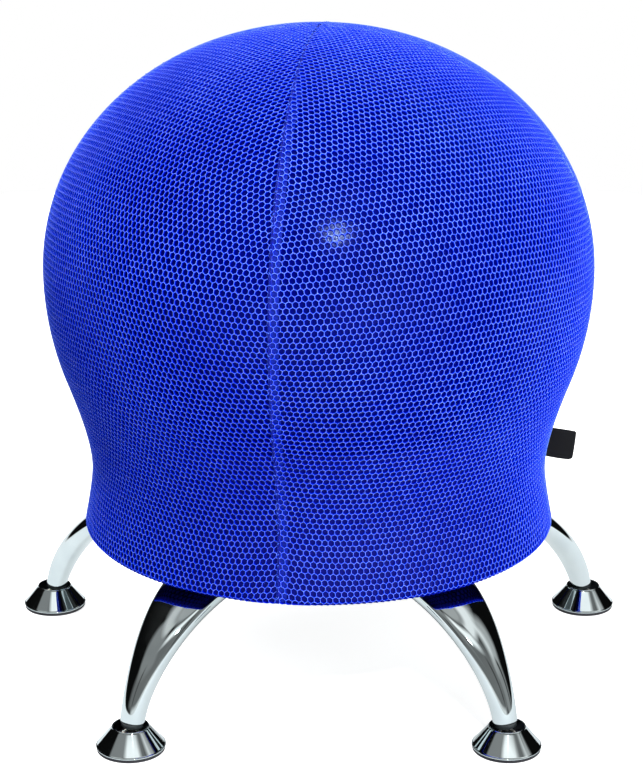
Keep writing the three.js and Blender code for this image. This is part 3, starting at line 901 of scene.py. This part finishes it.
def plug_profile():
    return rounded(
        (STUD_NECK + 0.1, PLUG_FACE, 0),
        (PLUG_RADIUS - 0.2, PLUG_FACE, 3.0),
        (PLUG_RADIUS, LEG_END_DISTANCE - 0.1, 0.3),
        (PLUG_BODY - 0.3, LEG_END_DISTANCE - 0.1, 0),
        (PLUG_BODY - 0.5, LEG_END_DISTANCE + PLUG_LENGTH, 1.0),
        (STUD_SHANK + 0.1, LEG_END_DISTANCE + PLUG_LENGTH + 1, 0),
    )


def stud_profile():
    neck_turn = 90 - math.degrees(math.asin(STUD_NECK / STUD_BALL))
    ball = ellipse(STUD_BALL, STUD_BALL, 0, -90, neck_turn, 20)
    ball[0, 0] = 0
    shank = LEG_END_DISTANCE
    end = shank + STUD_LENGTH
    return joined(ball, [[STUD_NECK, shank], [STUD_SHANK, shank], [STUD_SHANK, end], [0, end]])


def cup_inner(height):
    share = (height - CUP_BEAD_TOP) / (CUP_TOP - CUP_BEAD_TOP)
    neck = CUP_RADIUS - CUP_BEAD_WIDTH
    return neck + (CUP_TOP_RADIUS - neck) * share - CUP_WALL


def cup_profile():
    return rounded(
        (cup_inner(CUP_BEAD_TOP), CUP_FOOT + 0.2, 0),
        (CUP_RADIUS - 0.2, CUP_FOOT, 0.5),
        (CUP_RADIUS, CUP_FOOT + CUP_BEAD / 2, 0.5),
        (CUP_RADIUS - 0.15, CUP_BEAD_TOP, 0.4),
        (CUP_RADIUS - CUP_BEAD_WIDTH, CUP_BEAD_TOP + 0.35, 0.5),
        (CUP_TOP_RADIUS + 0.1, CUP_TOP - 1.1, 0.8),
        (CUP_TOP_RADIUS - 0.3, CUP_TOP, 0.6),
        (cup_inner(CUP_TOP), CUP_TOP - 0.2, 0.5),
        (cup_inner(CUP_TOP - 1.5), CUP_TOP - 1.6, 0.5),
        (cup_inner(CUP_BEAD_TOP), CUP_BEAD_TOP, 0),
    )


def pad_profile():
    spigot = PAD_THICKNESS + PAD_SPIGOT
    inner = cup_inner(spigot) - SEAT_GAP
    lip = math.degrees(math.asin(SOCKET_LIP / BUSH_RADIUS))
    socket_radius = BUSH_RADIUS + SOCKET_GAP
    socket = ellipse(socket_radius, socket_radius, STUD_HEIGHT, lip, -90, 14)
    socket[-1, 0] = 0
    shell = rounded(
        (0, 0, 0),
        (PAD_RADIUS - 0.2, 0, 0.7),
        (PAD_RADIUS, PAD_THICKNESS / 2, 0.6),
        (PAD_RADIUS - 0.1, PAD_THICKNESS, 0.3),
        (inner, PAD_THICKNESS, 0),
        (inner, spigot, 0.3),
        (SOCKET_BOSS, spigot, 0.5),
        (SOCKET_BOSS, STUD_HEIGHT + SOCKET_LIP, 0.4),
    )
    return joined(shell, socket)


def bush_profile():
    rings = []
    for radius, way in ((BUSH_RADIUS, 1), (STUD_BALL + BUSH_GAP, -1)):
        turn = way * math.degrees(math.asin(BUSH_HALF / radius))
        rings.append(ellipse(radius, radius, STUD_HEIGHT, -turn, turn, 12))
    return np.concatenate(rings)


leg = leg_shape()
plug = leaned(closed_revolved(plug_profile(), SMALL_SIDES))
stud = leaned(revolved(stud_profile(), SMALL_SIDES))
bush = outward(closed_revolved(bush_profile(), SMALL_SIDES), FOOT_CIRCLE)
cup = outward(closed_revolved(cup_profile(), FOOT_SIDES), FOOT_CIRCLE)
pad = outward(revolved(pad_profile(), FOOT_SIDES), FOOT_CIRCLE)
for index, name in enumerate(LEG_NAMES):
    for label, shape, material, body, slot, node in (
        ("chrome_leg", leg, CHROME, FRAME_BODY, "chrome", "leg"),
        ("leg_plug", plug, GLOSS_PLASTIC, FRAME_BODY, "black_plastic", "plug"),
        ("ball_stud", stud, STEEL, FRAME_BODY, "steel", "stud"),
        ("nylon_bush", bush, NYLON, f"swivel_{name}", "nylon", "bush"),
        ("bell_cup", cup, CHROME, f"foot_{name}", "chrome", "cup"),
        ("glide", pad, RUBBER, f"foot_{name}", "glide_rubber", "pad"),
    ):
        build(f"{label}_{name}", shape, material, body, slot, f"{node}_{name}", angle=leg_angle(index))


# Seat base, bolts, nuts and valve plug

BASE_WALL = 5.0
BASE_RIM_WIDTH = 6.0
PAD_INNER = 70.0
PAD_OUTER = 126.0
PAD_WIDTH = 68.0
PAD_CORNER = 5.0
ACCESS_RADIUS = 26.0
BASE_TOP = BALL_FLOOR - SEAT_GAP
BASE_UNDER = BASE_TOP - BASE_FLOOR
BASE_SIDES = 144
BASE_POINTS = 24
BOWL_RADIUS = COVER_RADIUS - COVER_THICKNESS
BOWL_RISE = COVER_RISE - COVER_THICKNESS
SKIRT_POINTS = 40
RIB_COUNT = 20
RIB_THICKNESS = 2.6
RIB_LIFT = 4.0
BOLT_RADII = {"inner": 88.0, "outer": 114.0}
FLANGE_TOP = TONGUE_TOP - TONGUE_DEPTH - SEAT_GAP
FLANGE_THICKNESS = 1.6
FLANGE_RADIUS = 8.5
HEAD_HEIGHT = 5.0
HEAD_RADIUS = 6.6
BOLT_RADIUS = 4.0
BOLT_SIDES = 32
NUT_HEIGHT = 6.2
NUT_RADIUS = 7.4
NUT_BEVEL = 0.6


def bowl_arc(wall, start, end):
    """The bowl's own curve between two heights, a wall's thickness outside the ball's side of it."""
    rise = BOWL_RISE + wall
    turns = [-math.degrees(math.asin((COVER_WIDEST - height) / rise)) for height in (start, end)]
    return ellipse(BOWL_RADIUS + wall, rise, COVER_WIDEST, *turns, BASE_POINTS)


def bowl_profile(rim):
    """Outline of the base's wall up to its rim, and the under side of its dish."""
    under = bowl_arc(BASE_WALL, BASE_UNDER, rim - BASE_WALL)
    s = np.linspace(length_at(rim), HEM_S, SKIRT_POINTS)
    outside = np.column_stack(profile_at(s, COVER_THICKNESS + SEAT_GAP))
    skirt_foot = HEM_HEIGHT + COVER_THICKNESS + SEAT_GAP
    outside = outside[outside[:, 1] > skirt_foot + 1][::-1]
    top = outside[-1, 0]
    foot = outside[0, 0]
    return under, joined(
        [[ACCESS_RADIUS, BASE_UNDER]],
        under,
        [[top - BASE_WALL, rim - BASE_WALL]],
        [[foot - BASE_WALL / 2, skirt_foot + 0.4], [foot - BASE_WALL / 4, skirt_foot]],
        outside,
        [[top - BASE_RIM_WIDTH / 2, rim + BASE_RIM_WIDTH / 4]],
        [[top - BASE_RIM_WIDTH, rim]],
        bowl_arc(0.0, rim, BASE_TOP),
        [[ACCESS_RADIUS, BASE_TOP]],
    )


def base_pad():
    """The pad over a leg's tongue, its upright corners and its bottom edge rounded."""
    bottom = BASE_UNDER - BASE_PAD_DROP
    reach = (PAD_OUTER - PAD_INNER) / 2 - PAD_CORNER
    side = PAD_WIDTH / 2 - PAD_CORNER
    rings = []
    for height, inset in ((bottom, 1.2), (bottom + 0.35, 0.35), (bottom + 1.2, 0.0), (BASE_UNDER + 1, 0.0)):
        ring = []
        for quarter, (sx, sy) in enumerate(((1, 1), (-1, 1), (-1, -1), (1, -1))):
            centre = ((PAD_INNER + PAD_OUTER) / 2 + sx * reach, sy * side)
            around = on_circle(np.radians(np.linspace(0, 90, 6) + 90 * quarter))
            ring.extend(centre + (PAD_CORNER - inset) * around)
        rings.append(np.column_stack([ring, np.full(len(ring), height)]))
    return lofted(rings)


def rib(under, rim):
    """A thin upright rib between the dish and the skirt of the base."""
    upper = under[under[:, 0] > PAD_OUTER + 8]
    reach = WAIST_RADIUS - COVER_THICKNESS - BASE_WALL
    line = joined(
        upper - [0.6, -0.6],
        [[reach + 0.5, rim - BASE_WALL + 0.5], [reach + 2.5, BASE_UNDER + 3 * RIB_LIFT]],
        [[upper[0, 0] + RIB_LIFT, BASE_UNDER + RIB_LIFT]],
    )
    across = np.ones(len(line)) * RIB_THICKNESS / 2
    return lofted([np.column_stack([line[:, 0], side, line[:, 1]]) for side in (across, -across)])


def base_shape():
    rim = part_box("seat_base")[1][2] / MM - BASE_RIM_WIDTH / 4
    under, outline = bowl_profile(rim)
    shapes = [closed_revolved(outline, BASE_SIDES)]
    copies = [(rib(under, rim), math.pi / 2 + (n + 0.5) * CIRCLE / RIB_COUNT) for n in range(RIB_COUNT)]
    copies += [(base_pad(), leg_angle(n)) for n in range(LEG_COUNT)]
    shapes += [(swung(points, angle), faces) for (points, faces), angle in copies]
    return merged(shapes)


build("seat_base_moulding", base_shape(), PLASTIC, FRAME_BODY, "black_plastic", "seat_base")


def hexagon(radius, height):
    return np.column_stack([radius * on_circle(circle_turns(6)), np.full(6, height)])


def bolt_shape():
    """A hexagon head with its flange, and the shank up to the nut."""
    flange_foot = FLANGE_TOP - FLANGE_THICKNESS
    head_foot = flange_foot - HEAD_HEIGHT
    rings = ((HEAD_RADIUS - 0.7, head_foot), (HEAD_RADIUS, head_foot + 0.6), (HEAD_RADIUS, flange_foot + 0.2))
    shank = revolved(
        [
            (0, flange_foot),
            (FLANGE_RADIUS - 0.2, flange_foot),
            (FLANGE_RADIUS, flange_foot + 0.5),
            (FLANGE_RADIUS, FLANGE_TOP),
            (BOLT_RADIUS, FLANGE_TOP),
            (BOLT_RADIUS, BASE_TOP - 1),
            (BOLT_RADIUS - 0.6, BASE_TOP - SEAT_GAP),
            (0, BASE_TOP - SEAT_GAP),
        ],
        BOLT_SIDES,
    )
    return merged([lofted([hexagon(*ring) for ring in rings]), shank])


def nut_shape():
    foot = BASE_TOP - NUT_HEIGHT
    inner = NUT_RADIUS - NUT_BEVEL
    low = [(BOLT_RADIUS, foot), (inner, foot), (NUT_RADIUS, foot + NUT_BEVEL)]
    high = [(NUT_RADIUS, BASE_TOP - NUT_BEVEL), (inner, BASE_TOP), (BOLT_RADIUS, BASE_TOP)]
    return closed_revolved(low + high, 6)


for index, name in enumerate(LEG_NAMES):
    angle = leg_angle(index)
    for place, reach in BOLT_RADII.items():
        for kind, shape in (("bolt", bolt_shape()), ("nut", nut_shape())):
            shape = outward(shape, reach)
            node = f"{kind}_{name}_{place}"
            build(f"leg_{node}", shape, STEEL, FRAME_BODY, "steel", node, angle=angle, smooth=False)


def valve_profile():
    return rounded(
        (0, BASE_TOP - 1.4, 0),
        (2.4, BASE_TOP - 1.4, 0.3),
        (3.0, BASE_TOP - 2, 0.3),
        (9.0, BASE_TOP - 2, 0.8),
        (9.0, BASE_TOP, 0.3),
        (4.2, BASE_TOP, 0),
        (4.2, BASE_TOP + 7, 0.5),
        (2.2, BASE_TOP + 9, 0.5),
        (0, BASE_TOP + 9, 0),
    )


build("air_plug", revolved(valve_profile(), SMALL_SIDES), NYLON, FRAME_BODY, "nylon", "valve_plug")


# Elastic ring in the hem

ELASTIC_RADIUS = 2.5
ELASTIC_RING = HEM_RADIUS - HEM_TURN + ELASTIC_RADIUS
ELASTIC_HEIGHT = HEM_HEIGHT + COVER_THICKNESS + SEAT_GAP + ELASTIC_RADIUS
ELASTIC_SIDES = 16
ELASTIC_STEPS = 240

elastic_line = on_circle(circle_turns(ELASTIC_SIDES)) * ELASTIC_RADIUS
elastic = closed_revolved(elastic_line + [ELASTIC_RING, ELASTIC_HEIGHT], ELASTIC_STEPS)
build("hem_elastic_ring", elastic, ELASTIC, FRAME_BODY, "elastic", "hem_elastic")


# Loop tag in the right side seam

TAG_TURN = math.radians(80.7)
TAG_HEIGHT = 208.6
TAG_REACH = 22.0
TAG_TALL = 27.0
TAG_LIFT = math.radians(5)
TAG_PLY = 0.5
TAG_HALF = 0.7
TAG_ROWS = 25
TAG_ROOT = 2.4
TAG_LOW_CORNER = 3.0
TAG_HIGH_CORNER = 1.0


def corner_cut(radius, distance):
    """How far a round corner draws in an edge, at a distance from the corner's end."""
    near = max(0.0, radius - distance)
    return radius - math.sqrt(max(radius**2 - near**2, 0.0))


def tag_row(height):
    """Outline of the folded ribbon at one height: out along one ply, round the bend and back."""
    low = (height + TAG_TALL / 2) / TAG_TALL
    cut = corner_cut(TAG_LOW_CORNER, TAG_TALL / 2 + height)
    cut += corner_cut(TAG_HIGH_CORNER, TAG_TALL / 2 - height)
    reach = TAG_REACH - TAG_HALF - cut + 0.25 * math.sin(3.0 * low)
    out = np.linspace(-TAG_ROOT, reach, 20)
    belly = 0.55 * np.sin(np.clip(out / reach, 0, 1) * math.pi) + 0.12 * np.sin(7 * low + out / 5)
    bend = np.radians(np.linspace(-90, 90, 9)[1:-1])
    line = joined(
        np.column_stack([out, -TAG_HALF - belly]),
        TAG_HALF * on_circle(bend) + [reach, 0],
        np.column_stack([out, TAG_HALF + 0.7 * belly])[::-1],
    )
    line[:, 1] += 0.5 * math.sin(2.2 * low + 0.4) * (line[:, 0] / TAG_REACH) ** 2
    along = np.gradient(line, axis=0)
    along /= np.linalg.norm(along, axis=1, keepdims=True)
    away = np.column_stack([along[:, 1], -along[:, 0]]) * TAG_PLY / 2
    return joined(line + away, (line - away)[::-1])


def loop_tag():
    heights = np.linspace(-TAG_TALL / 2, TAG_TALL / 2, TAG_ROWS)
    rows = np.array([tag_row(h) for h in heights])
    sides = rows.shape[1]
    out, across = rows.reshape(-1, 2).T
    up = np.repeat(heights, sides)
    k = np.arange(sides // 2 - 1)
    cap = np.column_stack([k, k + 1, sides - 2 - k, sides - 1 - k])
    faces = [ring_faces(TAG_ROWS, sides), cap[:, ::-1], cap + (TAG_ROWS - 1) * sides]
    seam_top, seam, seam_foot = (
        float(cover_radius(length_at(TAG_HEIGHT + part * TAG_TALL / 2))) for part in (1, 0, -1)
    )
    lean = math.atan((seam_top - seam_foot) / TAG_TALL) - TAG_LIFT
    c, s = math.cos(lean), math.sin(lean)
    x = out * c + up * s + max((seam_top + seam_foot) / 2, seam) + SEAT_GAP
    z = up * c - out * s + TAG_HEIGHT
    c, s = math.cos(TAG_TURN), math.sin(TAG_TURN)
    placed = np.column_stack([x * s + across * c, AXIS_Y - x * c + across * s, z])
    return make_mesh("loop_tag", placed, faces, WOVEN)


tag = settle(loop_tag(), FRAME_BODY, "woven_tag", "label_tag")


# Floor, lights, world and camera

FLOOR_REACH = 1.9
FLOOR_DROP = 0.0002
FLOOR_SIDES = 96
# Glow and colour of the floor for the camera, in mirrors, and as it lights the chair
FLOOR_GLOW = {"Is Camera Ray": 0.72, "Is Glossy Ray": 0.62, None: 0.05}
FLOOR_SHADE = {
    "Is Camera Ray": linear(238, 238, 238),
    "Is Glossy Ray": linear(132, 136, 140),
    None: linear(138, 138, 140),
}
# Under the chair the mirrored floor is in its shade, from a full shade near the middle to none
FLOOR_SHADED = (0.09, 0.21)
FLOOR_SHADED_GLOW = 0.03


def stage_floor():
    drop = np.full(FLOOR_SIDES, -FLOOR_DROP)
    points = np.column_stack([FLOOR_REACH * on_circle(circle_turns(FLOOR_SIDES)), drop])
    paint = Paint("studio_floor")
    path = paint.node("LightPath").outputs
    away = paint.add("VectorMath", paint.coords, operation="LENGTH")
    shaded = (FLOOR_SHADED_GLOW, FLOOR_GLOW["Is Glossy Ray"])
    level, shade = FLOOR_GLOW[None], FLOOR_SHADE[None]
    for ray, ray_level in (
        ("Is Glossy Ray", paint.add("MapRange", away, *FLOOR_SHADED, *shaded)),
        ("Is Camera Ray", FLOOR_GLOW["Is Camera Ray"]),
    ):
        level = paint.add("Mix", path[ray], level, ray_level)
        shade = paint.add("Mix", path[ray], shade, FLOOR_SHADE[ray], data_type="RGBA")
    paint.set(Base_Color=shade, Roughness=0.9, Specular_IOR_Level=0.1)
    glow = paint.add("Emission", WHITE, level)
    both = paint.add("AddShader", paint.shader.outputs["BSDF"], glow)
    paint.links.new(both, paint.nodes["Material Output"].inputs["Surface"])
    around = [np.arange(FLOOR_SIDES)[None, :]]
    make_mesh("studio_floor", points / MM, around, paint.material, smooth=False)


class Sky(Tree):
    """World light by direction: azimuth from the camera's side, to the right, and elevation, in degrees."""

    def __init__(self):
        self.world = bpy.data.worlds.new("studio")
        super().__init__(self.world)
        self.nodes.clear()
        self.way = self.node("TexCoord").outputs["Generated"]
        x, y, z = self.node("SeparateXYZ", self.way).outputs
        self.azimuth = self.math("DEGREES", self.math("ARCTAN2", x, self.math("MULTIPLY", y, -1.0)))
        self.side = self.math("ABSOLUTE", self.azimuth)
        self.elevation = self.math("DEGREES", self.math("ARCSINE", z))
        self.level = DARK_LEVEL

    def box(self, level, azimuths, elevations, soft, skew=0.0, both_sides=False):
        """Lays a level over what is there, inside a range of azimuth and elevation with soft edges."""
        source = self.side if both_sides else self.azimuth
        if skew:
            source = self.math("ADD", source, self.math("MULTIPLY", self.elevation, skew))
        masks = []
        for value, (low, high), width in zip((source, self.elevation), (azimuths, elevations), soft):
            edge = width / 2
            rise = self.add("MapRange", value, low - edge, low + edge, 0.0, 1.0)
            fall = self.add("MapRange", value, high - edge, high + edge, 1.0, 0.0)
            masks.append(self.math("MULTIPLY", rise, fall))
        self.level = self.add("Mix", self.math("MULTIPLY", *masks), self.level, level)

    def soft_light(self, towards, edge, level):
        """Light that falls off evenly round a direction."""
        near = self.add("VectorMath", self.way, towards, operation="DOT_PRODUCT")
        return self.add("MapRange", near, edge, 1.0, 0.0, level)


DARK_LEVEL = 0.004
# Level, azimuths, elevations, softness of the edges, and the lean of the sides where they lean
SKY_BOXES = (
    (0.17, (-66, 66), (3, 56), (14, 6)),
    (0.26, (-34, 32), (28, 66), (10, 10), 1.2),
    (0.30, (58, 86), (-4, 36), (8, 8)),
    (0.46, (28, 64), (30, 62), (12, 10), -0.9),
    (0.85, (37, 48), (38, 60), (9, 8), -0.9),
    (0.04, (76, 81), (-4, 34), (3, 6)),
    (0.05, (34, 42), (8, 40), (5, 8)),
    (0.06, (-44, -38), (6, 34), (5, 8)),
    (1.15, (-22, 44), (47, 61), (18, 8)),
    (0.62, (-130, -48), (57, 68), (12, 5)),
    (0.95, (48, 128), (55, 67), (12, 5)),
    (0.42, (-400, 400), (67, 120), (10, 8)),
    (0.80, (-40, 40), (-10, 4), (20, 5)),
    (0.80, (-400, 400), (-120, -1), (10, 2)),
)
BACK_BOX = (1.0, (136, 400), (44, 58), (4, 6))
# Soft lights: where each comes from, how far round its edge lies, and its level in the middle
SOFT_LIGHTS = (
    ((-0.37, 0.19, 0.909), 0.75, 5.8),
    ((0.58, -0.813, 0.05), 0.76, 8.9),
)
KEY_AZIMUTH = math.radians(8)
KEY_ELEVATION = math.radians(35.4)
KEY_DISTANCE = 1.9
KEY_SIZE = 0.08
KEY_POWER = 14.0


def studio_world():
    """What chrome and gloss mirror, the even soft light on everything else, and white for the camera."""
    sky = Sky()
    for sky_box in SKY_BOXES:
        sky.box(*sky_box)
    sky.box(*BACK_BOX, both_sides=True)
    soft_level = 0.0
    for soft in SOFT_LIGHTS:
        soft_level = sky.math("ADD", sky.soft_light(*soft), soft_level)
    path = sky.node("LightPath").outputs
    lit, mirrored, plain = (sky.add("Background", colour) for colour in (soft_level, sky.level, WHITE))
    shown = sky.add("MixShader", path["Is Glossy Ray"], lit, mirrored)
    shown = sky.add("MixShader", path["Is Camera Ray"], shown, plain)
    sky.node("OutputWorld", shown)
    bpy.context.scene.world = sky.world


def key_lamp():
    """A small round lamp that looks at the ball."""
    lamp = bpy.data.lights.new("key", "AREA")
    lamp.shape = "DISK"
    lamp.size = KEY_SIZE
    lamp.energy = KEY_POWER
    level = math.cos(KEY_ELEVATION)
    way = [math.sin(KEY_AZIMUTH) * level, -math.cos(KEY_AZIMUTH) * level, math.sin(KEY_ELEVATION)]
    target = np.array([0, AXIS_Y * MM, COVER_WIDEST * MM])
    holder = link("key", lamp)
    holder.location = target + np.array(way) * KEY_DISTANCE
    holder.rotation_euler = (math.pi / 2 - KEY_ELEVATION, 0, KEY_AZIMUTH)


CAMERA_PLACE = (0, -1.932, 0.8676)
CAMERA_PITCH = 18.10
CAMERA_LENS = 101.95
CAMERA_SHIFT = 0.0035

camera_data = bpy.data.cameras.new("camera")
camera_data.lens = CAMERA_LENS
camera_data.shift_x = CAMERA_SHIFT
camera = link("camera", camera_data)
camera.location = CAMERA_PLACE
camera.rotation_euler = (math.radians(90 - CAMERA_PITCH), 0, 0)
bpy.context.scene.camera = camera
bpy.context.scene.view_settings.view_transform = "Standard"

stage_floor()
studio_world()
key_lamp()
